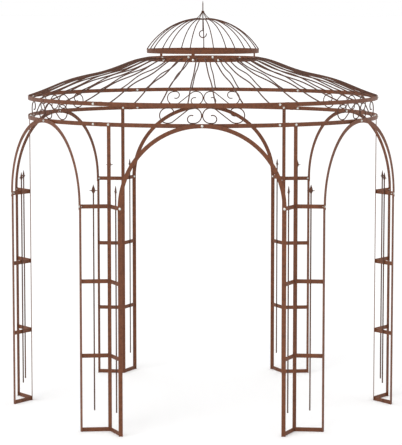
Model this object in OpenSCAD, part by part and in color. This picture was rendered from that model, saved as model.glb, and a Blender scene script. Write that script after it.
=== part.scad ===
// Round garden pavilion of flat steel bar and round rod.
// Millimetres, +Z up. Origin on the ground at the centre of the plan.
// Azimuth 0 points along +X and 270 points to the front, along -Y.

/* [Rings] */
// Outside diameter of the lower ring and the eaves ring
ring_od = 2662; // [2000:10:3600]
// Height of the middle of the lower ring
lower_ring_z = 2208; // [1900:1:2600]
// Height of the eaves ring above the lower ring, middle to middle
ring_gap = 144.5; // [100:0.5:240]
// Azimuth of the first joint between ring segments
joint_az = 55.7; // [54:0.1:57]
// Length of splice plate on each side of a joint
splice = 50; // [35:1:70]

/* [Flat bar] */
// Width of the flat bar
bar_w = 30; // [20:1:50]
// Thickness of the flat bar
bar_t = 4; // [3:0.5:8]

/* [Piers and arches] */
// Radius of each arch along the middle of its bar, and half its span
arch_r = 578; // [460:1:620]
// Length of arch bar that laps each leg below the springing
arch_lap = 28; // [20:1:80]
// Thickness of the spacer between the lower ring and each arch
arch_gap = 6; // [1:0.5:12]
// Gap between the two sides of a pier where they meet its post
pier_gap = 2.6; // [1:0.1:8]
// Distance of the top crossbar's middle below the springing of the arches
bar_drop = 3.5; // [0:0.5:10]
// Number of crossbars above the base bar of a trellis
crossbars = 3; // [2:1:5]
// Distance from the ground to the lower end of a trellis rod
rod_start_z = 153; // [60:1:300]

/* [Rods] */
// Diameter of the trellis rods
trellis_rod_d = 10; // [8:0.5:14]
// Distance of a trellis rod from the middle of its crossbars, towards the leg
rod_shift = 7.5; // [0:0.5:30]
// Diameter of the rod that the scrolls are bent from
scroll_rod_d = 8; // [6:0.5:10]
// Width of the roof bars
roof_bar = 9; // [7:0.5:12]
// Diameter of the dome rods
dome_rod_d = 8; // [6:0.5:10]

/* [Spear heads] */
// Width of a spear head across its arms
spear_w = 58; // [40:1:90]
// Height of a spear head from its foot to its tip
spear_h = 67; // [50:1:120]
// Height of the spear arms above the top crossbar's middle
spear_arm_z = 112; // [70:1:160]

/* [Scrolls] */
// Distance from the middle of a pair of scrolls to its outer end
scroll_reach = 298; // [260:1:380]
// Radius of the small curl at each end of a scroll
scroll_curl_r = 28; // [20:0.5:34]
// Straight length of scroll that is welded along each ring
scroll_flat = 8; // [0:0.5:20]

/* [Roof] */
// Number of roof bars in one segment
roof_bars = 7; // [5:1:9]
// Angle between neighbouring roof bars at the eaves ring
roof_pitch = 8.36; // [6:0.02:8.5]
// Angle between neighbouring roof bars at the crown ring
roof_top_pitch = 8; // [6:0.02:8.5]
// Angle that each fan of roof bars turns back on its way up
roof_turn = 1.6; // [0:0.1:3]
// Outside diameter of the crown ring
crown_od = 838; // [600:2:1100]
// Height of the middle of the crown ring above the eaves ring
crown_rise = 289; // [220:0.5:420]

/* [Dome] */
// Number of rods in the dome
dome_rods = 15; // [9:3:24]
// Azimuth of the first dome rod
dome_az = 17.2; // [0:0.1:24]
// Clear gap between the crown ring and the dome ring
dome_gap = 30; // [15:1:60]
// Height that the dome rises above its ring
dome_rise = 233; // [150:1:300]
// Width of the three legs under the dome
dome_leg_w = 25; // [15:1:27]
// Azimuth of the first leg under the dome
dome_leg_az = 20.3; // [18:0.1:24]
// Radius of the small ring at the top of the dome
top_ring_r = 50; // [35:1:80]

/* [Finial] */
// Height of the point where the finial rods meet above the top of the dome rods
finial_rise = 50; // [30:1:90]
// Angle that each finial rod is bent through
finial_bend = 31; // [10:1:60]
// Length of rod above the point where the finial rods meet
spike_h = 83; // [50:1:150]
// Diameter of the finial rods
finial_rod_d = 6; // [5:0.5:8]
// Diameter of the middle rod and its lamp hook
hook_rod_d = 8; // [6:0.5:10]
// Radius of the lamp hook along the middle of its rod
hook_r = 27; // [18:1:40]
// Depth of the middle of the hook below the top of the dome rods
hook_drop = 118; // [70:1:170]

/* [Hidden] */
$fn = 48;
RUST = [0.42, 0.27, 0.20];
RUST_DARK = [0.34, 0.22, 0.17];

PIERS = ["right", "back_right", "back_left", "left", "front_left", "front_right"];
BAYS = ["back_right", "back", "back_left", "front_left", "front", "front_right"];
SIDES = ["a", "b"];
BAY_STEP = 60;

ring_ro = ring_od / 2;
ring_ri = ring_ro - bar_t;
arch_in = ring_ro + arch_gap;
spacer_d = 18;
eaves_z = lower_ring_z + ring_gap;
spring_z = lower_ring_z - arch_r;
top_bar_z = spring_z - bar_drop;
leg_h = top_bar_z + bar_w / 2;
bar_gap = (top_bar_z - bar_w / 2) / crossbars;
weld = 1;

// Half a spear head from foot to tip, as shares of its width and height
SPEAR_HALF = [[0.09, 0], [0.12, 0.07], [0.21, 0.18], [0.5, 0.33], [0.24, 0.42], [0.19, 0.54], [0, 1]];
spear_z = top_bar_z + spear_arm_z - SPEAR_HALF[3][1] * spear_h;
spear_lap = 8;

// Trellis plan, in the frame of the pier at azimuth 0
half_bay = BAY_STEP / 2;
bay_normal = [cos(half_bay), sin(half_bay)];
bay_along = [sin(half_bay), -cos(half_bay)];
trellis_corner = [ring_ri, pier_gap / 2];
trellis_end = (arch_in - bar_t) * bay_normal + arch_r * bay_along;
trellis_reach = trellis_end - trellis_corner;
trellis_turn = atan2(trellis_reach[1], trellis_reach[0]) - asin(bar_t / 2 / norm(trellis_reach));
trellis_dir = [cos(trellis_turn), sin(trellis_turn)];
trellis_side = [trellis_dir[1], -trellis_dir[0]];
trellis_start = trellis_corner - trellis_side * bar_t / 2;
trellis_mid = (trellis_start + trellis_end) / 2;

// Scroll centreline: two circles that the diagonal is tangent to
scroll_r = (ring_gap - bar_w - scroll_rod_d) / 2;
scroll_in = scroll_r + scroll_rod_d / 2;
scroll_out = scroll_reach - scroll_r;
scroll_mid = (scroll_in + scroll_out) / 2;
scroll_span = scroll_out - scroll_in - 2 * scroll_flat;
scroll_lean = asin(2 * scroll_r / scroll_span);
curl_shift = 17;
curl_x = scroll_in + curl_shift;
curl_drop = scroll_r - scroll_curl_r;
curl_end = 118;

// Roof bar centreline: its slope at shares of the way from the eaves to the crown ring
ROOF_AT = [0, 0.2, 0.5, 0.8, 1];
ROOF_SLOPE = [0.33, 0.42, 0.21, 0.39, 0.17];
ROOF_STEPS = 20;
crown_ro = crown_od / 2;
crown_ri = crown_ro - bar_t;
crown_z = eaves_z + crown_rise;
roof_foot_z = eaves_z + (bar_w - roof_bar) / 2 + weld;
roof_top_z = crown_z + (bar_w - roof_bar) / 2;

// Dome: rods on a sphere through the dome ring's upper edge
dome_ri = crown_ro + bar_t;
dome_ro = dome_ri + bar_t;
dome_r = (dome_ri + dome_ro) / 2;
dome_ring_z = crown_z + bar_w + dome_gap;
dome_base_z = dome_ring_z + bar_w / 2;
dome_sphere = (dome_r * dome_r + dome_rise * dome_rise) / (2 * dome_rise);
dome_centre_z = dome_base_z + dome_rise - dome_sphere;
dome_start = asin((dome_base_z - dome_centre_z) / dome_sphere);
dome_end = acos(top_ring_r / dome_sphere);
dome_embed = 0.5;
dome_top_z = dome_centre_z + sqrt(dome_sphere * dome_sphere - top_ring_r * top_ring_r);
top_ring_z = dome_top_z - dome_rod_d + weld;

// Finial: rods that sweep up from the dome rods' ends to a collar on the middle rod
meet_z = dome_top_z + finial_rise;
meet_r = (hook_rod_d + finial_rod_d) / 2;
sweep_in = top_ring_r - meet_r;
sweep_r = norm([sweep_in, finial_rise]) / 2 / sin(finial_bend / 2);
sweep_low = atan2(finial_rise, sweep_in) - finial_bend / 2;
sweep_from = 270 - sweep_low - finial_bend;
collar_r = hook_rod_d / 2 + finial_rod_d;
collar_h = 18;
hook_z = dome_top_z - hook_drop;
hook_turn = 280;

// Turns what stands in the bay at azimuth 30 to bay i
module in_bay(i) { rotate(BAY_STEP * i) children(); }

// A band of flat bar on edge, bent to a ring, from one azimuth to another
module band(inner, outer, z, from = 0, sweep = 360) {
  rotate_extrude(angle = sweep, start = from, $fn = 180)
    translate([inner, z - bar_w / 2]) square([outer - inner, bar_w]);
}

// A round rod bent to an arc that stands in the radial plane at azimuth 0
module standing_arc(radius, rod, from, sweep) {
  rotate([90, 0, 0]) rotate_extrude(angle = sweep, start = from, $fn = 96)
    translate([radius, 0]) circle(d = rod, $fn = 24);
}

// Upright flat bar on the inside of the ring
module post(i) {
  color(RUST) in_bay(i) translate([ring_ri - bar_t, -bar_w / 2, 0])
    cube([bar_t, bar_w, lower_ring_z + bar_w / 2]);
}

// Point where a line along the trellis crosses the leg's inner face, pushed in by the weld
function to_leg(p, extra) =
  p + trellis_dir * ((arch_in - bar_t + extra - p * bay_normal) / (trellis_dir * bay_normal));
// Point where it crosses the post's outer face
function to_post(p) = p + trellis_dir * ((ring_ri - p[0]) / trellis_dir[0]);

// One flat crossbar from the post to the leg
module crossbar(z) {
  near = trellis_start + trellis_side * bar_t / 2;
  far = trellis_start - trellis_side * bar_t / 2;
  translate([0, 0, z - bar_w / 2]) linear_extrude(bar_w)
    polygon([to_post(near), to_leg(near, weld), to_leg(far, weld), to_post(far)]);
}

// Flat spear head, cut from plate: foot, two arms and a point
module spear() {
  half = [for (p = SPEAR_HALF) [p[0] * spear_w, p[1] * spear_h]];
  polygon(concat(half, [for (k = [len(half) - 2:-1:0]) [-half[k][0], half[k][1]]]));
}

// One side of a pier: leg, base bar, crossbars, middle rod and spear head
module trellis(i, side) {
  rod_at = trellis_mid + trellis_dir * rod_shift - trellis_side * (bar_t / 2 + trellis_rod_d / 2 - weld);
  color(RUST) in_bay(i) mirror([0, side, 0]) {
    // leg
    rotate(half_bay) translate([arch_in - bar_t, -arch_r - bar_w / 2, 0]) cube([bar_t, bar_w, leg_h]);
    for (k = [0:crossbars]) crossbar(bar_w / 2 + k * bar_gap);
    translate([rod_at[0], rod_at[1], rod_start_z])
      cylinder(d = trellis_rod_d, h = spear_z + spear_lap - rod_start_z, $fn = 24);
    translate([rod_at[0], rod_at[1], spear_z]) rotate(trellis_turn) rotate([90, 0, 0])
      translate([0, 0, -bar_t / 2]) linear_extrude(bar_t) spear();
  }
}

// Half-round arch of flat bar on the outside of the legs, with the spacer that holds it off the ring
module arch(i) {
  color(RUST) in_bay(i) rotate(half_bay) {
    translate([ring_ro, 0, lower_ring_z]) rotate([0, 90, 0]) cylinder(d = spacer_d, h = arch_gap + weld);
    translate([arch_in, 0, spring_z]) rotate([90, 0, 90]) linear_extrude(bar_t) {
      difference() {
        circle(arch_r + bar_w / 2, $fn = 180);
        circle(arch_r - bar_w / 2, $fn = 180);
        translate([-2 * arch_r, -4 * arch_r]) square(4 * arch_r);
      }
      for (s = [-1, 1]) translate([s * arch_r - bar_w / 2, -arch_lap]) square([bar_w, arch_lap + 0.01]);
    }
  }
}

// Degrees of ring that a length along it takes
function ring_deg(length) = length / ring_ro * 180 / PI;

// A sixth of a ring, with a splice plate behind its far joint
module ring_segment(z) {
  band(ring_ri, ring_ro, z, joint_az, BAY_STEP);
  band(ring_ri - bar_t, ring_ri, z, joint_az + BAY_STEP - ring_deg(splice), 2 * ring_deg(splice));
}

module lower_ring(i) {
  color(RUST) in_bay(i - 1) ring_segment(lower_ring_z);
}

// Points of an arc about [x, y], ends included
function arc(x, y, r, from, to, steps) =
  [for (k = [0:steps]) let (a = from + (to - from) * k / steps) [x + r * cos(a), y + r * sin(a)]];
// The inner half of a scroll's centreline, from the end of its curl to the middle of the diagonal
function half_scroll() = concat(
  arc(curl_x, -curl_drop, scroll_curl_r, curl_end, -90, 12),
  arc(scroll_in, 0, scroll_r, 270, 90, 16),
  arc(scroll_in + scroll_flat, 0, scroll_r, 90, 90 - scroll_lean, 5)
);
function turned(points) = [for (k = [len(points) - 1:-1:0]) [2 * scroll_mid - points[k][0], -points[k][1]]];
// Unit normal of a path at point k
function path_normal(p, k) =
  let (a = p[max(k - 1, 0)], b = p[min(k + 1, len(p) - 1)], d = (b - a) / norm(b - a)) [-d[1], d[0]];
// Closed outline of a strip of width w along a path
function strip(p, w) = concat(
  [for (k = [0:len(p) - 1]) p[k] + path_normal(p, k) * w / 2],
  [for (k = [len(p) - 1:-1:0]) p[k] - path_normal(p, k) * w / 2]
);

// A mirrored pair of scrolls between the two rings, bent to the ring's curve
module scrolls(i) {
  path = concat(half_scroll(), turned(half_scroll()));
  mid_z = lower_ring_z + ring_gap / 2;
  ring_mid = (ring_ri + ring_ro) / 2;
  color(RUST_DARK) in_bay(i) rotate(half_bay) intersection() {
    difference() {
      cylinder(r = ring_mid + scroll_rod_d / 2, h = 2 * mid_z, $fn = 180);
      translate([0, 0, -1]) cylinder(r = ring_mid - scroll_rod_d / 2, h = 2 * mid_z + 2, $fn = 180);
    }
    translate([ring_ro - 2 * scroll_rod_d - bar_w, 0, mid_z]) rotate([90, 0, 90])
      linear_extrude(4 * scroll_rod_d + bar_w)
        for (s = [0, 1]) mirror([s, 0]) polygon(strip(path, scroll_rod_d));
  }
}

// Share of the roof bar's rise reached at u, 0 at the eaves and 1 at the crown
function eased(s0, s1, t) = s0 * t + (s1 - s0) / 2 * (t - sin(180 * t) / PI);
function raw_rise(u, k = 0) =
  let (w = ROOF_AT[k + 1] - ROOF_AT[k], t = min(1, max(0, (u - ROOF_AT[k]) / w)))
    w * eased(ROOF_SLOPE[k], ROOF_SLOPE[k + 1], t) + (k + 2 < len(ROOF_AT) ? raw_rise(u, k + 1) : 0);
function roof_point(u, run) =
  [run * u, roof_foot_z + (roof_top_z - roof_foot_z) * raw_rise(u) / raw_rise(1)];

// One roof bar with its foot at azimuth 0 and its upper end turned by an angle
module roof_bar(turned) {
  foot = [ring_ri + weld, 0];
  way = crown_ro * [cos(turned), sin(turned)] - foot;
  path = [for (k = [0:ROOF_STEPS]) roof_point(k / ROOF_STEPS, norm(way))];
  thick = [for (k = [0:ROOF_STEPS]) let (n = path_normal(path, k)) [0, roof_bar / 2 / abs(n[1])]];
  translate(foot) rotate(atan2(way[1], way[0])) rotate([90, 0, 0])
    translate([0, 0, -roof_bar / 2]) linear_extrude(roof_bar)
    polygon(concat(
      [for (k = [0:ROOF_STEPS]) path[k] + thick[k]],
      [for (k = [ROOF_STEPS:-1:0]) path[k] - thick[k]]
    ));
}

// A sixth of the roof: eaves ring segment and its fan of bars
module roof(i) {
  middle = joint_az + BAY_STEP / 2;
  color(RUST) in_bay(i - 1) {
    ring_segment(eaves_z);
    for (k = [0:roof_bars - 1]) let (place = k - (roof_bars - 1) / 2)
      rotate(middle + place * roof_pitch) roof_bar(place * (roof_top_pitch - roof_pitch) - roof_turn);
  }
}

module crown_ring() {
  color(RUST) band(crown_ri, crown_ro, crown_z);
}

// Dome ring, its three legs, its rods, the small top ring and the finial's sweeping rods
module dome() {
  leg_bottom = crown_z - bar_w / 2;
  color(RUST) {
    band(dome_ri, dome_ro, dome_ring_z);
    for (k = [0:2]) rotate(dome_leg_az + 120 * k) translate([0, 0, leg_bottom])
      intersection() {
        difference() {
          cylinder(r = dome_ri + weld, h = dome_base_z - leg_bottom, $fn = 180);
          translate([0, 0, -1]) cylinder(r = crown_ro, h = dome_base_z, $fn = 180);
        }
        translate([0, -dome_leg_w / 2, 0]) cube([dome_ro, dome_leg_w, dome_base_z - leg_bottom]);
      }
  }
  color(RUST_DARK) {
    for (k = [0:dome_rods - 1]) rotate(dome_az + 360 / dome_rods * k) translate([0, 0, dome_centre_z])
      standing_arc(dome_sphere, dome_rod_d, dome_start - dome_embed, dome_end - dome_start + dome_embed);
    translate([0, 0, top_ring_z]) rotate_extrude($fn = 96)
      translate([top_ring_r, 0]) circle(d = dome_rod_d, $fn = 24);
    for (k = [0:dome_rods / 3 - 1]) rotate(dome_az + 1080 / dome_rods * k)
      translate([top_ring_r + sweep_r * sin(sweep_low), 0, dome_top_z + sweep_r * cos(sweep_low)])
        standing_arc(sweep_r, finial_rod_d, sweep_from, finial_bend);
    translate([0, 0, meet_z - collar_h / 2]) difference() {
      cylinder(r = collar_r, h = collar_h);
      translate([0, 0, -1]) cylinder(d = hook_rod_d, h = collar_h + 2);
    }
  }
}

// Middle rod with a point above and an open lamp hook below
module finial() {
  top = meet_z + spike_h;
  point = 2 * hook_rod_d;
  color(RUST_DARK) {
    translate([0, 0, hook_z + hook_r]) cylinder(d = hook_rod_d, h = top - point - hook_z - hook_r);
    translate([0, 0, top - point]) cylinder(d1 = hook_rod_d, d2 = hook_rod_d / 2, h = point);
    translate([0, 0, hook_z]) standing_arc(hook_r, hook_rod_d, 90, hook_turn);
  }
}

for (i = [0:5]) {
  post(i);
  for (s = [0:1]) trellis(i, s);
  arch(i);
  lower_ring(i);
  scrolls(i);
  roof(i);
}
crown_ring();
dome();
finial();
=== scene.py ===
"""Round garden pavilion: flat bars, round rods, scrolls, spear heads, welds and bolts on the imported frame.

Lengths are metres in the row frame: +Z up, -Y to the front arch, azimuth 0 along +X.
"""
import math
import random

import bpy
from mathutils import Matrix, Vector


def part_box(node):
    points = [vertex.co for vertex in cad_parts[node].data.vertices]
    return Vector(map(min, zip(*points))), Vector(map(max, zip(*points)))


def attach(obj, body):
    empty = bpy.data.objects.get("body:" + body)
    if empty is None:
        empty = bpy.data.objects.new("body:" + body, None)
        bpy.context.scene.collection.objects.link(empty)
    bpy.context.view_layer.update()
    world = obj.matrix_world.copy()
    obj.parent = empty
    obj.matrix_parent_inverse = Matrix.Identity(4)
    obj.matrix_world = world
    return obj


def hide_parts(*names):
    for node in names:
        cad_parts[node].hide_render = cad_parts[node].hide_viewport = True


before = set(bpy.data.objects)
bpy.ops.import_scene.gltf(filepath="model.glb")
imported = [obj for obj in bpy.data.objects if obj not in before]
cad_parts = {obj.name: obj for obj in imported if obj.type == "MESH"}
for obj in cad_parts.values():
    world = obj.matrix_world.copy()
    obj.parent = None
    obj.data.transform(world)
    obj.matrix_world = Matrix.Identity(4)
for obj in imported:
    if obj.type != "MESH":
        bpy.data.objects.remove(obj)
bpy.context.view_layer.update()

PIERS = ["right", "back_right", "back_left", "left", "front_left", "front_right"]
BAYS = ["back_right", "back", "back_left", "front_left", "front", "front_right"]
SIDES = ["a", "b"]
BAY_STEP = 60
HALF_BAY = 30

# Sizes that the frame gives
ring_low, ring_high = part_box("lower_ring_front")
post_low, post_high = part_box("post_right")
arch_low, arch_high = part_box("arch_front")
crown_low, crown_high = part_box("crown_ring")
roof_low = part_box("roof_front")[0]
finial_low, finial_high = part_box("finial")
BAR_W = ring_high.z - ring_low.z
BAR_T = post_high.x - post_low.x
RING_RI = post_high.x
RING_RO = RING_RI + BAR_T
ARCH_IN = -arch_low.y - BAR_T
RING_MID = (RING_RO + RING_RI) / 2
RING_Z = (ring_low.z + ring_high.z) / 2
EAVES_Z = roof_low.z + BAR_W / 2
ARCH_R = arch_high.x - BAR_W / 2
SPRING_Z = RING_Z - ARCH_R
ARCH_LAP = SPRING_Z - arch_low.z
CROWN_RO = crown_high.x
CROWN_Z = (crown_low.z + crown_high.z) / 2
TIP_Z = finial_high.z
HOOK_LOW_Z = finial_low.z

# Sizes that the model's source sets and the frame's boxes don't give
WELD = 0.001
JOINT_AZ = 55.7
JOINT_GAP = 0.0015
PIER_GAP = 0.0026
SPACER_D = 0.018
SPLICE = 0.050
CROSSBARS = 3
BAR_DROP = 0.0035
ROD_SHIFT = 0.0075
TRELLIS_ROD = 0.010
ROD_START_Z = 0.153
SPEAR_W = 0.058
SPEAR_H = 0.067
SPEAR_ARM_Z = 0.112
SCROLL_ROD = 0.008
SCROLL_REACH = 0.298
SCROLL_CURL_R = 0.028
SCROLL_CURL_SHIFT = 0.017
SCROLL_CURL_END = 118
SCROLL_FLAT = 0.008
ROOF_ROD = 0.010
ROOF_BARS = 7
ROOF_PITCH = 8.36
ROOF_TOP_PITCH = 8
ROOF_TURN = 1.6
ROOF_BAR_SQUARE = 0.009
ROOF_AT = [0, 0.2, 0.5, 0.8, 1]
ROOF_SLOPE = [0.33, 0.42, 0.21, 0.39, 0.17]
DOME_RODS = 15
DOME_AZ = 17.2
DOME_ROD = 0.008
DOME_GAP = 0.030
DOME_RISE = 0.233
DOME_LEG_W = 0.025
DOME_LEG_AZ = 20.3
TOP_RING_R = 0.050
FINIAL_RISE = 0.050
FINIAL_BEND = 31
FINIAL_ROD = 0.006
HOOK_ROD = 0.008
HOOK_R = 0.027
HOOK_TURN = 280
FINIAL_LAP = 0.008
COLLAR_R = 0.0082
COLLAR_PITCH = 0.0050
COLLAR_ROD = 0.0052
TOP_BAR_Z = SPRING_Z - BAR_DROP
LEG_H = TOP_BAR_Z + BAR_W / 2

# Bolts: M8 with washers
BOLT_D = 0.008
HEAD_FLATS = 0.013
HEAD_H = 0.0053
NUT_H = 0.0065
WASHER_D = 0.0175
WASHER_H = 0.0016
WASHER_EDGE = 0.0004
THREAD_PITCH = 0.00125
THREAD_TURNS = 4
THREAD_DEPTH = 0.0005
THREAD_LENGTH = 0.0062
JOINT_BOLT_AZ = JOINT_AZ - 1.4
CROWN_BOLT_AZ = 46.0
EXTRA_BOLT_AZ = 79.6

# Edges and cut ends
EDGE_R = 0.0008
WORN_W = 0.0035
BAR_TRIM = 0.0006
ROD_TRIM = 0.0008
ROD_WEAR = 0.12
LENS_WEAR = 0.25

# Welds: half-widths of the beads and how far they reach
BEAD_R = 0.0022
THIN_BEAD_R = 0.0018
SCROLL_BEAD_R = 0.0024
MIDDLE_BEAD_R = 0.0026
ROOF_BEAD_R = 0.0025
BEAD_STEP = 0.0021
BEAD_RIPPLE = 0.16
BEAD_END = 0.45
BAR_BEAD_INSET = 0.002
ROD_BEAD_SIDE = 0.0042
ROD_BEAD_REACH = 0.010
SCROLL_BEAD_REACH = 0.008
MIDDLE_BEAD_REACH = 0.012
LEG_BEAD_LENGTH = 0.024
TACK_WEAR = 0.3
SHARP = math.radians(40)
dice = random.Random(7)


# ---------------------------------------------------------------- sections

def flat_section(first, second):
    """Rolled flat bar with softened edges: (first, second, wear) points, counter-clockwise."""
    corners = [(1, 1), (-1, 1), (-1, -1), (1, -1)]
    steps = [(-1, 0), (0, -1), (1, 0), (0, 1)]
    points = []
    for k in range(4):
        cx = corners[k][0] * (first / 2 - EDGE_R)
        cy = corners[k][1] * (second / 2 - EDGE_R)
        for s in range(3):
            a = math.radians(90 * k + 45 * s)
            points.append((cx + EDGE_R * math.cos(a), cy + EDGE_R * math.sin(a), 1.0))
        if (first > second) == (k % 2 == 0):
            dx, dy = steps[k][0] * WORN_W, steps[k][1] * WORN_W
            here, there = corners[k], corners[(k + 1) % 4]
            points.append((here[0] * first / 2 + dx, here[1] * second / 2 + dy, 0.0))
            points.append((there[0] * first / 2 - dx, there[1] * second / 2 - dy, 0.0))
    return points


def rod_section(diameter, sides=12):
    """Round rod, barely worn."""
    step = 2 * math.pi / sides
    radius = diameter / 2
    return [(radius * math.cos(k * step), radius * math.sin(k * step), ROD_WEAR) for k in range(sides)]


# ---------------------------------------------------------------- shapes

class Shape:
    """Vertices, faces, edge wear and materials of one piece."""

    def __init__(self, place=None):
        self.points = []
        self.faces = []
        self.wear = []
        self.slots = []
        self.slot = 0
        self.place = place or Matrix.Identity(4)

    def add(self, points, faces, wear):
        """Adds a closed mesh, moved to the current place."""
        base = len(self.points)
        mirrored = self.place.determinant() < 0
        self.points += [self.place @ p for p in points]
        self.wear += wear
        for face in faces:
            turned = [base + k for k in face]
            self.faces.append(turned[::-1] if mirrored else turned)
            self.slots.append(self.slot)

    def sweep(self, path, first, section, sizes=None, closed=False, trim=0.0, cuts=None):
        """Sweeps a section along a path. first is the direction of the section's first axis.

        sizes scales the section at each point, trim softens both ends, and cuts are the planes
        (normal, offset) that the two ends stop at.
        """
        path = list(path)
        if trim:
            head = (path[1] - path[0]).normalized()
            tail = (path[-2] - path[-1]).normalized()
            path[1:1] = [path[0] + head * trim, path[0] + head * WORN_W]
            path[-1:-1] = [path[-1] + tail * WORN_W, path[-1] + tail * trim]
        count, around = len(path), len(section)
        points, wear = [], []
        for i, p in enumerate(path):
            if closed:
                along = path[(i + 1) % count] - path[i - 1]
            else:
                along = path[min(i + 1, count - 1)] - path[max(i - 1, 0)]
            along.normalize()
            a = (first - along * first.dot(along)).normalized()
            b = along.cross(a)
            size = sizes[i] if sizes else (1, 1)
            end = trim and i in (0, count - 1)
            near = trim and i in (0, 1, count - 2, count - 1)
            for u, v, worn in section:
                if end:
                    u -= math.copysign(min(trim, abs(u)), u)
                    v -= math.copysign(min(trim, abs(v)), v)
                q = p + a * (u * size[0]) + b * (v * size[1])
                if cuts and i in (0, count - 1):
                    normal, offset = cuts[0 if i == 0 else 1]
                    q = q + along * ((offset - normal.dot(q)) / normal.dot(along))
                points.append(q)
                wear.append(1.0 if near else worn)
        faces = []
        for i in range(count if closed else count - 1):
            here, there = i * around, (i + 1) % count * around
            for j in range(around):
                k = (j + 1) % around
                faces.append([here + j, here + k, there + k, there + j])
        if not closed:
            faces.append(list(range(around))[::-1])
            faces.append([(count - 1) * around + j for j in range(around)])
        self.add(points, faces, wear)

    def bead(self, start, end, radius=BEAD_R):
        """A rippled weld bead along a line."""
        steps = max(4, int((end - start).length / BEAD_STEP))
        path = [start.lerp(end, k / steps) for k in range(steps + 1)]
        sizes = [1 + BEAD_RIPPLE * math.sin(2.4 * k) + dice.uniform(-0.07, 0.07) for k in range(steps + 1)]
        sizes[0] = sizes[-1] = BEAD_END
        first = Vector((0, 0, 1)) if abs((end - start).normalized().z) < 0.9 else Vector((1, 0, 0))
        self.slot = 1
        self.sweep(path, first, rod_section(2 * radius, 8), [(s, s) for s in sizes])
        self.slot = 0

    def tack(self, centre, radius=0.0042, tall=0.8):
        """A small round weld."""
        rows, around = 5, 8
        points, faces = [centre + Vector((0, 0, -radius * tall))], []
        for i in range(1, rows):
            a = math.pi * i / rows
            for j in range(around):
                b = 2 * math.pi * j / around
                r = radius * math.sin(a) * dice.uniform(0.88, 1.1)
                level = -radius * tall * math.cos(a)
                points.append(centre + Vector((r * math.cos(b), r * math.sin(b), level)))
        points.append(centre + Vector((0, 0, radius * tall)))
        last = len(points) - 1
        for j in range(around):
            k = (j + 1) % around
            faces.append([0, 1 + k, 1 + j])
            faces.append([last, last - around + j, last - around + k])
            for i in range(rows - 2):
                low, high = 1 + i * around, 1 + (i + 1) * around
                faces.append([low + j, low + k, high + k, high + j])
        self.slot = 1
        self.add(points, faces, [TACK_WEAR] * len(points))
        self.slot = 0

    def turned(self, base, axis, profile, sides=24):
        """A turned part: (distance along the axis, radius) points, closed at both ends."""
        first = axis.orthogonal().normalized()
        second = axis.cross(first)
        points, faces = [], []
        for along, radius in profile:
            for k in range(sides):
                a = 2 * math.pi * k / sides
                spoke = first * (radius * math.cos(a))
                points.append(base + axis * along + spoke + second * (radius * math.sin(a)))
        for i in range(len(profile) - 1):
            for j in range(sides):
                k = (j + 1) % sides
                faces.append([i * sides + j, i * sides + k, (i + 1) * sides + k, (i + 1) * sides + j])
        faces.append(list(range(sides))[::-1])
        faces.append([(len(profile) - 1) * sides + j for j in range(sides)])
        self.add(points, faces, [0.0] * len(points))

    def hexagon(self, base, axis, flats, height, spin):
        """A bolt head or nut: a hexagon whose corners are chamfered at the outer end."""
        first = axis.orthogonal().normalized()
        second = axis.cross(first)
        corner = flats / math.sqrt(3)
        chamfer = 0.12 * flats
        points = []
        for level in range(3):
            for k in range(12):
                a = math.radians(30 * k) + spin
                radius = corner if k % 2 == 0 else flats / 2
                along = 0.0
                if level == 1:
                    along = height - (chamfer * 0.55 if k % 2 == 0 else chamfer * 0.1)
                if level == 2:
                    along, radius = height, flats / 2 * 0.93
                spoke = first * (radius * math.cos(a))
                points.append(base + axis * along + spoke + second * (radius * math.sin(a)))
        faces = [list(range(12))[::-1], list(range(24, 36))]
        for i in (0, 12):
            for j in range(12):
                k = (j + 1) % 12
                faces.append([i + j, i + k, i + 12 + k, i + 12 + j])
        self.add(points, faces, [0.0] * 36)

    def bolt(self, outer, axis, grip):
        """A bolt through a stack grip thick: washer and head outside, washer, nut and thread inside."""
        washer = [(0, WASHER_D / 2 - WASHER_EDGE), (WASHER_EDGE, WASHER_D / 2),
                  (WASHER_H - WASHER_EDGE, WASHER_D / 2), (WASHER_H, WASHER_D / 2 - 0.0006)]
        spin = dice.uniform(0, math.pi / 3)
        self.turned(outer, axis, washer)
        self.hexagon(outer + axis * WASHER_H, axis, HEAD_FLATS, HEAD_H, spin)
        inner = outer - axis * grip
        self.turned(inner, -axis, washer)
        self.hexagon(inner - axis * WASHER_H, -axis, HEAD_FLATS, NUT_H, spin + 0.4)
        thread = [(0, BOLT_D / 2)]
        for k in range(THREAD_TURNS):
            along = THREAD_PITCH * k
            thread += [(0.0006 + along, BOLT_D / 2 - THREAD_DEPTH), (0.0012 + along, BOLT_D / 2)]
        thread.append((THREAD_LENGTH, BOLT_D / 2 - 0.0009))
        self.turned(inner - axis * (WASHER_H + NUT_H), -axis, thread, 16)

    def piece(self, name, materials, replaces=()):
        """Makes the object, parents it to the root body and hides the frame parts it replaces."""
        mesh = bpy.data.meshes.new(name)
        mesh.from_pydata(self.points, [], self.faces)
        mesh.attributes.new("wear", "FLOAT", "POINT").data.foreach_set("value", self.wear)
        for material in materials:
            mesh.materials.append(material)
        mesh.polygons.foreach_set("material_index", self.slots)
        mesh.shade_smooth()
        mesh.set_sharp_from_angle(angle=SHARP)
        made = bpy.data.objects.new(name, mesh)
        bpy.context.scene.collection.objects.link(made)
        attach(made, "root")
        if replaces:
            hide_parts(*replaces)
        return made


# ---------------------------------------------------------------- places

UP = Vector((0, 0, 1))


def polar(azimuth, radius, z):
    """The point at an azimuth in degrees, a radius and a height."""
    a = math.radians(azimuth)
    return Vector((radius * math.cos(a), radius * math.sin(a), z))


def turn(azimuth):
    return Matrix.Rotation(math.radians(azimuth), 4, "Z")


def degrees_of(length, radius=RING_RO):
    """Degrees of ring that a length along it takes."""
    return math.degrees(length / radius)


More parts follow.
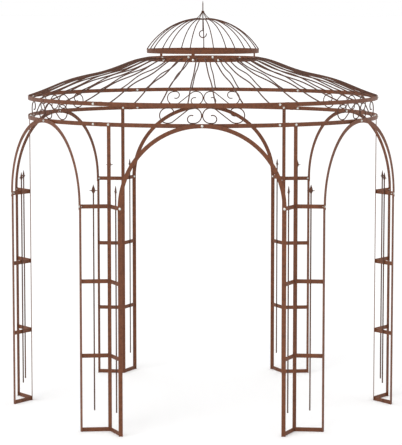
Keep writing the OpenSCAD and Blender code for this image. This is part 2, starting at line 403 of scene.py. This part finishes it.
def circle_path(radius, z, start, sweep, step=2.5):
    """Points along a level arc; a full turn leaves out its last point."""
    count = max(2, round(abs(sweep) / step))
    last = count if sweep >= 360 else count + 1
    return [polar(start + sweep * k / count, radius, z) for k in range(last)]


def upright_arc(centre, radius, start, sweep, step=6):
    """Points along an arc in the XZ plane, angles counter-clockwise seen from the front."""
    count = max(2, round(abs(sweep) / step))
    angles = [math.radians(start + sweep * k / count) for k in range(count + 1)]
    return [centre + Vector((radius * math.cos(a), 0, radius * math.sin(a))) for a in angles]


# ---------------------------------------------------------------- materials

def srgb(red, green, blue):
    """A colour given as 8-bit sRGB, as linear values with alpha."""
    def linear(c):
        c /= 255
        return c / 12.92 if c <= 0.04045 else ((c + 0.055) / 1.055) ** 2.4
    return (linear(red), linear(green), linear(blue), 1.0)


class Nodes:
    """Short names for the nodes of one material."""

    def __init__(self, name):
        self.material = bpy.data.materials.new(name)
        self.material.use_nodes = True
        self.tree = self.material.node_tree
        self.shader = self.tree.nodes["Principled BSDF"]
        self.place = self.new("ShaderNodeTexCoord").outputs["Object"]

    def new(self, kind, **values):
        node = self.tree.nodes.new(kind)
        for key, value in values.items():
            setattr(node, key, value)
        return node

    def link(self, out, into):
        self.tree.links.new(out, into)

    def noise(self, scale, detail=4, roughness=0.55, stretch=None):
        """A noise over the row frame, as its value output. scale is in features per metre."""
        node = self.new("ShaderNodeTexNoise")
        node.inputs["Scale"].default_value = scale
        node.inputs["Detail"].default_value = detail
        node.inputs["Roughness"].default_value = roughness
        place = self.place
        if stretch:
            mapping = self.new("ShaderNodeMapping")
            mapping.inputs["Scale"].default_value = stretch
            self.link(place, mapping.inputs["Vector"])
            place = mapping.outputs["Vector"]
        self.link(place, node.inputs["Vector"])
        return node.outputs["Fac"]

    def ramp(self, value, stops):
        """A colour ramp through (position, colour) stops."""
        node = self.new("ShaderNodeValToRGB")
        elements = node.color_ramp.elements
        while len(elements) < len(stops):
            elements.new(0.5)
        for element, (position, colour) in zip(elements, stops):
            element.position = position
            element.color = colour
        self.link(value, node.inputs["Fac"])
        return node.outputs["Color"]

    def span(self, value, low, high, to_low=0.0, to_high=1.0):
        """Maps a value's range to another, clamped."""
        node = self.new("ShaderNodeMapRange")
        for key, number in (("From Min", low), ("From Max", high), ("To Min", to_low), ("To Max", to_high)):
            node.inputs[key].default_value = number
        self.link(value, node.inputs["Value"])
        return node.outputs["Result"]

    def times(self, a, b):
        node = self.new("ShaderNodeMath", operation="MULTIPLY")
        self.link(a, node.inputs[0])
        if isinstance(b, float):
            node.inputs[1].default_value = b
        else:
            self.link(b, node.inputs[1])
        return node.outputs[0]

    def mix(self, factor, a, b, blend="MIX"):
        """Mixes colour a towards b, which may be a fixed colour."""
        node = self.new("ShaderNodeMix", data_type="RGBA", blend_type=blend)
        self.link(factor, node.inputs["Factor"])
        self.link(a, node.inputs["A"])
        if isinstance(b, tuple):
            node.inputs["B"].default_value = b
        else:
            self.link(b, node.inputs["B"])
        return node.outputs["Result"]

    def bump(self, height, strength, distance, normal=None):
        node = self.new("ShaderNodeBump")
        node.inputs["Strength"].default_value = strength
        node.inputs["Distance"].default_value = distance
        self.link(height, node.inputs["Height"])
        if normal:
            self.link(normal, node.inputs["Normal"])
        return node.outputs["Normal"]


def coat_material(name, dark, middle, light, worn):
    """Rust-brown coated steel: mottled, lightly streaked, lighter on its worn edges."""
    n = Nodes(name)
    broad = n.noise(2.2, 3)
    mottle = n.noise(38, 6, 0.62)
    streak = n.noise(1, 4, 0.5, (95, 95, 4))
    speck = n.noise(520, 3, 0.6)
    colour = n.ramp(mottle, [(0.30, dark), (0.50, middle), (0.72, light)])
    colour = n.mix(n.span(broad, 0.40, 0.68, 0.0, 0.38), colour, dark)
    colour = n.mix(n.span(streak, 0.56, 0.75, 0.0, 0.30), colour, srgb(127, 72, 42))
    colour = n.mix(n.span(speck, 0.60, 0.74, 0.0, 0.45), colour, srgb(138, 79, 46))
    colour = n.mix(n.span(speck, 0.42, 0.28, 0.0, 0.40), colour, srgb(62, 39, 30))
    edge = n.new("ShaderNodeAttribute", attribute_name="wear").outputs["Fac"]
    patchy = n.times(edge, n.span(n.noise(70, 5, 0.6), 0.38, 0.66, 0.0, 0.55))
    colour = n.mix(patchy, colour, worn)
    n.link(colour, n.shader.inputs["Base Color"])
    n.link(n.span(mottle, 0.32, 0.70, 0.62, 0.44), n.shader.inputs["Roughness"])
    skin = n.bump(n.noise(330, 4, 0.55), 0.32, 0.0005)
    n.link(n.bump(speck, 0.25, 0.0002, skin), n.shader.inputs["Normal"])
    n.shader.inputs["Metallic"].default_value = 0.0
    n.shader.inputs["Specular IOR Level"].default_value = 0.3
    return n.material


def weld_material():
    """Weld beads under the same coat, a little darker with heat-rusted patches."""
    n = Nodes("weld_bead")
    patch = n.noise(150, 4, 0.6)
    colour = n.ramp(patch, [(0.32, srgb(66, 42, 32)), (0.52, srgb(92, 57, 41)), (0.72, srgb(114, 68, 46))])
    n.link(colour, n.shader.inputs["Base Color"])
    n.link(n.span(patch, 0.3, 0.7, 0.66, 0.46), n.shader.inputs["Roughness"])
    n.link(n.bump(n.noise(640, 3, 0.6), 0.4, 0.0004), n.shader.inputs["Normal"])
    return n.material


def zinc_material():
    """Zinc-plated bolts: pale, lightly dulled."""
    n = Nodes("bolt_zinc")
    cloud = n.noise(260, 5, 0.6)
    colour = n.ramp(cloud, [(0.32, srgb(196, 196, 190)), (0.52, srgb(220, 220, 215)),
                            (0.75, srgb(236, 236, 232))])
    n.link(colour, n.shader.inputs["Base Color"])
    n.link(n.span(cloud, 0.3, 0.7, 0.46, 0.30), n.shader.inputs["Roughness"])
    n.link(n.bump(n.noise(900, 2, 0.5), 0.15, 0.0002), n.shader.inputs["Normal"])
    n.shader.inputs["Metallic"].default_value = 0.85
    return n.material


coat = coat_material("rust_coat", dark=srgb(85, 49, 32), middle=srgb(104, 60, 36),
                     light=srgb(117, 66, 39), worn=srgb(135, 82, 54))
rod_coat = coat_material("rust_coat_rods", dark=srgb(59, 37, 26), middle=srgb(76, 45, 30),
                         light=srgb(90, 52, 33), worn=srgb(107, 66, 45))
weld = weld_material()
zinc = zinc_material()


# ---------------------------------------------------------------- piers and arches

def post(i):
    """Upright flat bar on the inside of the ring."""
    made = Shape(turn(BAY_STEP * i))
    x = RING_RI - BAR_T / 2
    ends = [Vector((x, 0, 0)), Vector((x, 0, RING_Z + BAR_W / 2))]
    made.sweep(ends, Vector((0, 1, 0)), flat_section(BAR_W, BAR_T), trim=BAR_TRIM)
    made.piece(f"post_{PIERS[i]}_bar", [coat, weld], [f"post_{PIERS[i]}"])


bay_normal = Vector((math.cos(math.radians(HALF_BAY)), math.sin(math.radians(HALF_BAY)), 0))
bay_along = Vector((math.sin(math.radians(HALF_BAY)), -math.cos(math.radians(HALF_BAY)), 0))
trellis_corner = Vector((RING_RI, PIER_GAP / 2, 0))
trellis_end = bay_normal * (ARCH_IN - BAR_T) + bay_along * ARCH_R
reach = trellis_end - trellis_corner
trellis_turn = math.atan2(reach.y, reach.x) - math.asin(BAR_T / 2 / reach.length)
trellis_dir = Vector((math.cos(trellis_turn), math.sin(trellis_turn), 0))
trellis_side = Vector((trellis_dir.y, -trellis_dir.x, 0))
trellis_start = trellis_corner - trellis_side * (BAR_T / 2)
trellis_mid = (trellis_start + trellis_end) / 2
bar_gap = (TOP_BAR_Z - BAR_W / 2) / CROSSBARS
bar_heights = [BAR_W / 2 + k * bar_gap for k in range(CROSSBARS + 1)]
rod_at = (trellis_mid + trellis_dir * ROD_SHIFT
          - trellis_side * (BAR_T / 2 + TRELLIS_ROD / 2 - WELD))

# A spear head from foot to tip: share of its height, share of its width, thickness in metres
SPEAR = [(0, 0.17, 0.010), (0.07, 0.22, 0.0105), (0.17, 0.34, 0.012), (0.27, 0.43, 0.0125),
         (0.292, 0.78, 0.010), (0.312, 1, 0.009), (0.33, 1, 0.009), (0.348, 1, 0.009), (0.368, 0.78, 0.010),
         (0.392, 0.44, 0.0125), (0.54, 0.38, 0.012), (0.78, 0.19, 0.008), (1, 0.01, 0.001)]
SPEAR_ARMS = 6
SPEAR_HOLLOW = 0.45
SPEAR_SIDES = 16
SPEAR_STEPS = 3
SPEAR_SOCKET = 0.008


def spear(made):
    """Forged four-armed spear head on the trellis rod, lens-shaped across."""
    low = TOP_BAR_Z + SPEAR_ARM_Z - SPEAR[SPEAR_ARMS][0] * SPEAR_H
    lens = []
    for k in range(SPEAR_SIDES):
        a = 2 * math.pi * k / SPEAR_SIDES
        hollow = 1 - SPEAR_HOLLOW * abs(math.cos(a)) ** 2
        lens.append((math.cos(a) / 2, math.sin(a) / 2 * hollow, LENS_WEAR))
    path, sizes = [], []
    for j in range(len(SPEAR) - 1):
        for s in range(SPEAR_STEPS if j < len(SPEAR) - 2 else SPEAR_STEPS + 1):
            t = s / SPEAR_STEPS
            row = [SPEAR[j][c] * (1 - t) + SPEAR[j + 1][c] * t for c in range(3)]
            path.append(Vector((rod_at.x, rod_at.y, low + row[0] * SPEAR_H)))
            sizes.append((row[1] * SPEAR_W, row[2]))
    made.sweep(path, trellis_dir, lens, sizes)


def trellis(i, s):
    """One side of a pier: leg, base bar, crossbars, middle rod and spear head."""
    made = Shape(turn(BAY_STEP * i) @ Matrix.Scale(-1 if s else 1, 4, Vector((0, 1, 0))))
    leg = bay_normal * (ARCH_IN - BAR_T / 2) + bay_along * ARCH_R
    made.sweep([leg, leg + UP * LEG_H], bay_along, flat_section(BAR_W, BAR_T), trim=BAR_TRIM)
    post_cut = (Vector((1, 0, 0)), RING_RI)
    leg_cut = (bay_normal, ARCH_IN - BAR_T + WELD / 2)
    half = trellis_side * (BAR_T / 2)
    for z in bar_heights:
        level = UP * z
        made.sweep([trellis_start + level, trellis_end + level], UP, flat_section(BAR_W, BAR_T),
                   cuts=(post_cut, leg_cut))
        rise = UP * (BAR_W / 2 - BAR_BEAD_INSET)
        for side in (half, -half):
            near = trellis_start + side + level
            near = near + trellis_dir * ((RING_RI - near.x) / trellis_dir.x)
            far = trellis_end + side + level
            short = ARCH_IN - BAR_T - bay_normal.dot(far)
            far = far + trellis_dir * (short / bay_normal.dot(trellis_dir))
            made.bead(near - rise, near + rise)
            made.bead(far - rise, far + rise)
        for side in (-1, 1):
            corner = rod_at + level + trellis_side * (TRELLIS_ROD / 2 - WELD)
            corner = corner + trellis_dir * (side * ROD_BEAD_SIDE)
            made.bead(corner - UP * ROD_BEAD_REACH, corner + UP * ROD_BEAD_REACH, THIN_BEAD_R)
    rod_top = TOP_BAR_Z + SPEAR_ARM_Z - SPEAR[SPEAR_ARMS][0] * SPEAR_H + SPEAR_SOCKET
    rod = [Vector((rod_at.x, rod_at.y, z)) for z in (ROD_START_Z, rod_top)]
    made.slot = 2
    made.sweep(rod, trellis_dir, rod_section(TRELLIS_ROD, 14), trim=ROD_TRIM)
    spear(made)
    made.slot = 0
    name = f"trellis_{PIERS[i]}_{SIDES[s]}"
    made.piece(f"{name}_bars", [coat, weld, rod_coat], [name])


def arch(i):
    """Half-round arch of flat bar on the outside of the legs, and the spacer that holds it off the ring."""
    made = Shape(turn(BAY_STEP * i + HALF_BAY))
    x = ARCH_IN + BAR_T / 2
    steps = 60
    path = [Vector((x, -ARCH_R, SPRING_Z - ARCH_LAP)), Vector((x, -ARCH_R, SPRING_Z - ARCH_LAP / 3))]
    for k in range(steps + 1):
        a = math.pi * (1 - k / steps)
        path.append(Vector((x, ARCH_R * math.cos(a), SPRING_Z + ARCH_R * math.sin(a))))
    path += [Vector((x, ARCH_R, p.z)) for p in (path[1], path[0])]
    made.sweep(path, Vector((1, 0, 0)), flat_section(BAR_T, BAR_W), trim=BAR_TRIM)
    spacer = SPACER_D / 2
    profile = [(0, spacer), (ARCH_IN - RING_RO + WELD, spacer)]
    made.turned(Vector((RING_RO, 0, RING_Z)), Vector((1, 0, 0)), profile)
    made.piece(f"arch_{BAYS[i]}_bar", [coat, weld], [f"arch_{BAYS[i]}"])


# ---------------------------------------------------------------- rings, scrolls and roof

def ring_segment(made, z):
    """A sixth of a ring, with a splice plate welded behind its far joint."""
    gap = degrees_of(JOINT_GAP) / 2
    section = flat_section(BAR_W, BAR_T)
    far = JOINT_AZ + BAY_STEP
    made.sweep(circle_path(RING_MID, z, JOINT_AZ + gap, BAY_STEP - 2 * gap), UP, section, trim=BAR_TRIM)
    reach = degrees_of(SPLICE)
    made.sweep(circle_path(RING_RI - BAR_T / 2, z, far - reach, 2 * reach, 1), UP, section, trim=BAR_TRIM)
    edge = RING_RI - BAR_T / 2
    for high in (-1, 1):
        level = z + high * (BAR_W / 2 - BAR_TRIM)
        made.bead(polar(far + 0.5, edge, level), polar(far + reach - 0.2, edge, level), THIN_BEAD_R)


def lower_ring(i):
    made = Shape(turn(BAY_STEP * (i - 1)))
    ring_segment(made, RING_Z)
    made.piece(f"lower_ring_{BAYS[i]}_bar", [coat, weld], [f"lower_ring_{BAYS[i]}"])


def arc(x, y, radius, start, end, steps):
    """Flat points of an arc, ends included."""
    angles = [math.radians(start + (end - start) * k / steps) for k in range(steps + 1)]
    return [(x + radius * math.cos(a), y + radius * math.sin(a)) for a in angles]


def scroll_path():
    """Centreline of one S-scroll: distance from the middle of the bay and height from mid-gap."""
    loop = (EAVES_Z - RING_Z - BAR_W - SCROLL_ROD) / 2
    inner = loop + SCROLL_ROD / 2
    outer = SCROLL_REACH - loop
    middle = (inner + outer) / 2
    lean = math.degrees(math.asin(2 * loop / (outer - inner - 2 * SCROLL_FLAT)))
    curl_drop = loop - SCROLL_CURL_R
    half = arc(inner + SCROLL_CURL_SHIFT, -curl_drop, SCROLL_CURL_R, SCROLL_CURL_END, -90, 22)
    half += arc(inner, 0, loop, 270, 90, 30)[1:]
    half += arc(inner + SCROLL_FLAT, 0, loop, 90, 90 - lean, 6)
    return half + [(2 * middle - x, -y) for x, y in reversed(half)], loop, inner, outer


def scrolls(i):
    """A mirrored pair of scrolls between the two rings, bent to the ring's curve."""
    path, loop, inner, outer = scroll_path()
    middle_z = (RING_Z + EAVES_Z) / 2

    def on_ring(x, y):
        return Vector((math.sqrt(RING_MID * RING_MID - x * x), x, middle_z + y))

    made = Shape()
    for hand in (1, -1):
        made.place = turn(BAY_STEP * i + HALF_BAY) @ Matrix.Scale(hand, 4, Vector((0, 1, 0)))
        rod = [on_ring(x, y) for x, y in path]
        made.sweep(rod, Vector((1, 0, 0)), rod_section(SCROLL_ROD, 12), trim=ROD_TRIM)
        touch = loop + SCROLL_ROD / 2
        for x, y in ((inner, -touch), (inner + SCROLL_FLAT / 2, touch), (outer, touch), (outer, -touch)):
            made.bead(on_ring(x - SCROLL_BEAD_REACH, y), on_ring(x + SCROLL_BEAD_REACH, y), SCROLL_BEAD_R)
    made.bead(on_ring(0, -MIDDLE_BEAD_REACH), on_ring(0, MIDDLE_BEAD_REACH), MIDDLE_BEAD_R)
    made.piece(f"scrolls_{BAYS[i]}_rods", [rod_coat, weld], [f"scrolls_{BAYS[i]}"])


def eased(slope_a, slope_b, t):
    """Rise over a stretch whose slope goes smoothly from one value to another."""
    return slope_a * t + (slope_b - slope_a) / 2 * (t - math.sin(math.pi * t) / math.pi)


def raw_rise(u):
    """Rise of a roof bar at the share u of its way, before it is fitted to its two ends."""
    total = 0
    for k in range(len(ROOF_AT) - 1):
        width = ROOF_AT[k + 1] - ROOF_AT[k]
        t = min(1, max(0, (u - ROOF_AT[k]) / width))
        total += width * eased(ROOF_SLOPE[k], ROOF_SLOPE[k + 1], t)
    return total


def roof_path(turned, steps=44):
    """Centreline of a roof bar with its foot at azimuth 0 and its upper end turned by an angle."""
    foot = Vector((RING_RI + WELD, 0, EAVES_Z + (BAR_W - ROOF_BAR_SQUARE) / 2 + WELD))
    top = polar(turned, CROWN_RO, CROWN_Z + (BAR_W - ROOF_BAR_SQUARE) / 2)
    path = []
    for k in range(steps + 1):
        at = foot.lerp(top, k / steps)
        at.z = foot.z + (top.z - foot.z) * raw_rise(k / steps) / raw_rise(1)
        path.append(at)
    return path


def roof(i):
    """A sixth of the roof: eaves ring segment and its fan of round bars."""
    place = turn(BAY_STEP * (i - 1))
    made = Shape(place)
    ring_segment(made, EAVES_Z)
    middle = JOINT_AZ + BAY_STEP / 2
    for k in range(ROOF_BARS):
        number = k - (ROOF_BARS - 1) / 2
        made.place = place @ turn(middle + number * ROOF_PITCH)
        path = roof_path(number * (ROOF_TOP_PITCH - ROOF_PITCH) - ROOF_TURN)
        made.slot = 2
        made.sweep(path, Vector((0, 1, 0)), rod_section(ROOF_ROD, 12))
        made.slot = 0
        for side in (-1, 1):
            foot = path[0] + Vector((-0.003, side * ROOF_ROD * 0.46, -0.003))
            top = path[-1] + Vector((0.002, side * ROOF_ROD * 0.46, -0.002))
            made.bead(foot, foot + Vector((0.001, 0, 0.005)), ROOF_BEAD_R)
            made.bead(top, top + Vector((-0.001, 0, 0.005)), ROOF_BEAD_R)
    made.piece(f"roof_{BAYS[i]}_bars", [coat, weld, rod_coat], [f"roof_{BAYS[i]}"])


def crown_ring():
    made = Shape()
    path = circle_path(CROWN_RO - BAR_T / 2, CROWN_Z, 0, 360)
    made.sweep(path, UP, flat_section(BAR_W, BAR_T), closed=True)
    made.piece("crown_ring_bar", [coat, weld], ["crown_ring"])


# ---------------------------------------------------------------- dome and finial

dome_mid = CROWN_RO + 1.5 * BAR_T
dome_ring_z = CROWN_Z + BAR_W + DOME_GAP
dome_base_z = dome_ring_z + BAR_W / 2
dome_sphere = (dome_mid * dome_mid + DOME_RISE * DOME_RISE) / (2 * DOME_RISE)
dome_centre_z = dome_base_z + DOME_RISE - dome_sphere
dome_top_z = dome_centre_z + math.sqrt(dome_sphere * dome_sphere - TOP_RING_R * TOP_RING_R)
meet_r = (HOOK_ROD + FINIAL_ROD) / 2
meet_z = dome_top_z + FINIAL_RISE


def dome():
    """Dome ring on three flat legs, its rods and the small top ring."""
    made = Shape()
    made.slot = 2
    made.sweep(circle_path(dome_mid, dome_ring_z, 0, 360), UP, flat_section(BAR_W, BAR_T), closed=True)
    for k in range(3):
        made.slot = 2
        made.place = turn(DOME_LEG_AZ + 120 * k)
        x = CROWN_RO + BAR_T / 2
        leg = [Vector((x, 0, CROWN_Z - BAR_W / 2)), Vector((x, 0, dome_base_z - WELD))]
        made.sweep(leg, Vector((0, 1, 0)), flat_section(DOME_LEG_W, BAR_T), trim=BAR_TRIM)
        for side in (-1, 1):
            low = dome_ring_z - BAR_W / 2 + BAR_BEAD_INSET
            foot = Vector((CROWN_RO + BAR_T, side * DOME_LEG_W / 2, low))
            made.bead(foot, foot + UP * LEG_BEAD_LENGTH)
    made.slot = 0
    start = math.degrees(math.asin((dome_base_z - dome_centre_z) / dome_sphere)) - 0.5
    end = math.degrees(math.acos(TOP_RING_R / dome_sphere))
    centre = Vector((0, 0, dome_centre_z))
    for k in range(DOME_RODS):
        made.place = turn(DOME_AZ + 360 / DOME_RODS * k)
        rod = upright_arc(centre, dome_sphere, start, end - start, 2.5)
        made.sweep(rod, Vector((0, 1, 0)), rod_section(DOME_ROD, 12), trim=ROD_TRIM)
        for side in (-1, 1):
            made.tack(Vector((dome_mid, side * ROD_BEAD_SIDE, dome_base_z + 0.0005)), 0.0034, 0.7)
        made.tack(Vector((TOP_RING_R + 0.001, 0, dome_top_z - DOME_ROD / 2)), 0.0036, 0.6)
    made.place = Matrix.Identity(4)
    top_ring_z = dome_top_z - DOME_ROD + WELD
    made.sweep(circle_path(TOP_RING_R, top_ring_z, 0, 360, 10), UP, rod_section(DOME_ROD, 12), closed=True)
    made.piece("dome_rods", [rod_coat, weld, coat], ["dome"])


def finial():
    """Middle rod with a point above and an open lamp hook below, its sweeping rods and collar."""
    made = Shape()
    low = math.degrees(math.atan2(FINIAL_RISE, TOP_RING_R - meet_r)) - FINIAL_BEND / 2
    chord = math.hypot(FINIAL_RISE, TOP_RING_R - meet_r)
    bend_r = chord / 2 / math.sin(math.radians(FINIAL_BEND / 2))
    lean = math.radians(low)
    centre = Vector((TOP_RING_R + bend_r * math.sin(lean), 0, dome_top_z + bend_r * math.cos(lean)))
    for k in range(DOME_RODS // 3):
        made.place = turn(DOME_AZ + 360 * 3 / DOME_RODS * k)
        rod = upright_arc(centre, bend_r, 270 - low, -FINIAL_BEND, 3)
        rod.append(Vector((meet_r, 0, rod[-1].z + FINIAL_LAP)))
        made.sweep(rod, Vector((0, 1, 0)), rod_section(FINIAL_ROD, 10), trim=BAR_TRIM)
        made.tack(rod[0] + Vector((0.001, 0, -0.001)), 0.0042, 0.7)
    made.place = Matrix.Identity(4)
    for k in range(3):
        ring = circle_path(COLLAR_R, meet_z - COLLAR_PITCH + COLLAR_PITCH * k, 0, 360, 18)
        made.sweep(ring, UP, rod_section(COLLAR_ROD, 8), closed=True)
    hook_z = HOOK_LOW_Z + HOOK_ROD / 2 + HOOK_R
    point = 2.6 * HOOK_ROD
    heights = [TIP_Z, TIP_Z - 0.0015, TIP_Z - point * 0.5, TIP_Z - point, meet_z, (meet_z + hook_z) / 2]
    path = [Vector((0, 0, z)) for z in heights]
    path += upright_arc(Vector((0, 0, hook_z)), HOOK_R, 90, HOOK_TURN, 7)
    sizes = [0.12, 0.3, 0.68] + [1] * (len(path) - 5) + [0.97, 0.7]
    made.sweep(path, Vector((0, 1, 0)), rod_section(HOOK_ROD, 14), [(size, size) for size in sizes])
    made.piece("finial_rod_and_hook", [rod_coat, weld], ["finial"])


# ---------------------------------------------------------------- bolts

def bolts():
    """Zinc bolts: arch tops, post tops, leg laps and ring joints by bay, and those of the crown ring."""
    for i, bay in enumerate(BAYS):
        made = Shape()
        out = polar(BAY_STEP * i + HALF_BAY, 1, 0)
        along = polar(BAY_STEP * i + HALF_BAY + 90, 1, 0)
        face = ARCH_IN + BAR_T
        made.bolt(out * face + UP * RING_Z, out, face - RING_RI)
        for side in (-1, 1):
            made.bolt(out * face + along * (side * ARCH_R) + UP * TOP_BAR_Z, out, 2 * BAR_T)
        for z in (RING_Z, EAVES_Z):
            azimuth = JOINT_BOLT_AZ + BAY_STEP * i
            made.bolt(polar(azimuth, RING_RO, z), polar(azimuth, 1, 0), 2 * BAR_T)
        made.piece(f"bolts_{bay}", [zinc])
    made = Shape()
    for i in range(len(PIERS)):
        made.bolt(polar(BAY_STEP * i, RING_RO, RING_Z), polar(BAY_STEP * i, 1, 0), 2 * BAR_T)
    made.piece("bolts_posts", [zinc])
    made = Shape()
    for azimuth in [CROWN_BOLT_AZ + BAY_STEP * i for i in range(6)] + [EXTRA_BOLT_AZ]:
        made.bolt(polar(azimuth, CROWN_RO, CROWN_Z), polar(azimuth, 1, 0), BAR_T)
    for i in range(3):
        azimuth = DOME_LEG_AZ + 120 * i
        made.bolt(polar(azimuth, CROWN_RO + BAR_T, CROWN_Z), polar(azimuth, 1, 0), 2 * BAR_T)
    made.piece("bolts_crown", [zinc])


for i in range(6):
    post(i)
    for s in range(2):
        trellis(i, s)
    arch(i)
    lower_ring(i)
    scrolls(i)
    roof(i)
crown_ring()
dome()
finial()
bolts()


# ---------------------------------------------------------------- studio

FLOOR_TONE = 0.89
FLOOR_REACH = 400
KEY_ENERGY = 1.1
KEY_ANGLE = 35
KEY_TURN = (48, -8, -24)
LENS = 163.2
CAMERA_AT = (0.0604, -15.420, 3.068)
CAMERA_PITCH = 6.227
CAMERA_YAW = 0.277


def studio():
    """Plain pale floor, white surroundings, one broad soft light and the camera."""
    scene = bpy.context.scene
    n = Nodes("studio_floor")
    n.shader.inputs["Base Color"].default_value = (FLOOR_TONE, FLOOR_TONE, FLOOR_TONE, 1)
    n.shader.inputs["Roughness"].default_value = 0.9
    n.shader.inputs["Specular IOR Level"].default_value = 0.1
    mesh = bpy.data.meshes.new("floor")
    corners = [(x * FLOOR_REACH, y * FLOOR_REACH, 0) for x, y in ((-1, -1), (1, -1), (1, 1), (-1, 1))]
    mesh.from_pydata(corners, [], [(0, 1, 2, 3)])
    mesh.materials.append(n.material)
    floor = bpy.data.objects.new("floor", mesh)
    scene.collection.objects.link(floor)

    world = bpy.data.worlds.new("studio")
    world.use_nodes = True
    world.node_tree.nodes["Background"].inputs["Color"].default_value = (1, 1, 1, 1)
    world.node_tree.nodes["Background"].inputs["Strength"].default_value = 1.0
    scene.world = world

    lamp = bpy.data.lights.new("key", "SUN")
    lamp.energy = KEY_ENERGY
    lamp.angle = math.radians(KEY_ANGLE)
    key = bpy.data.objects.new("key", lamp)
    key.rotation_euler = [math.radians(angle) for angle in KEY_TURN]
    scene.collection.objects.link(key)

    scene.view_settings.view_transform = "Standard"

    data = bpy.data.cameras.new("camera")
    data.sensor_width = 36
    data.lens = LENS
    data.clip_end = 1000
    camera = bpy.data.objects.new("camera", data)
    camera.location = CAMERA_AT
    camera.rotation_euler = (math.radians(90 - CAMERA_PITCH), 0, math.radians(CAMERA_YAW))
    scene.collection.objects.link(camera)
    scene.camera = camera


studio()
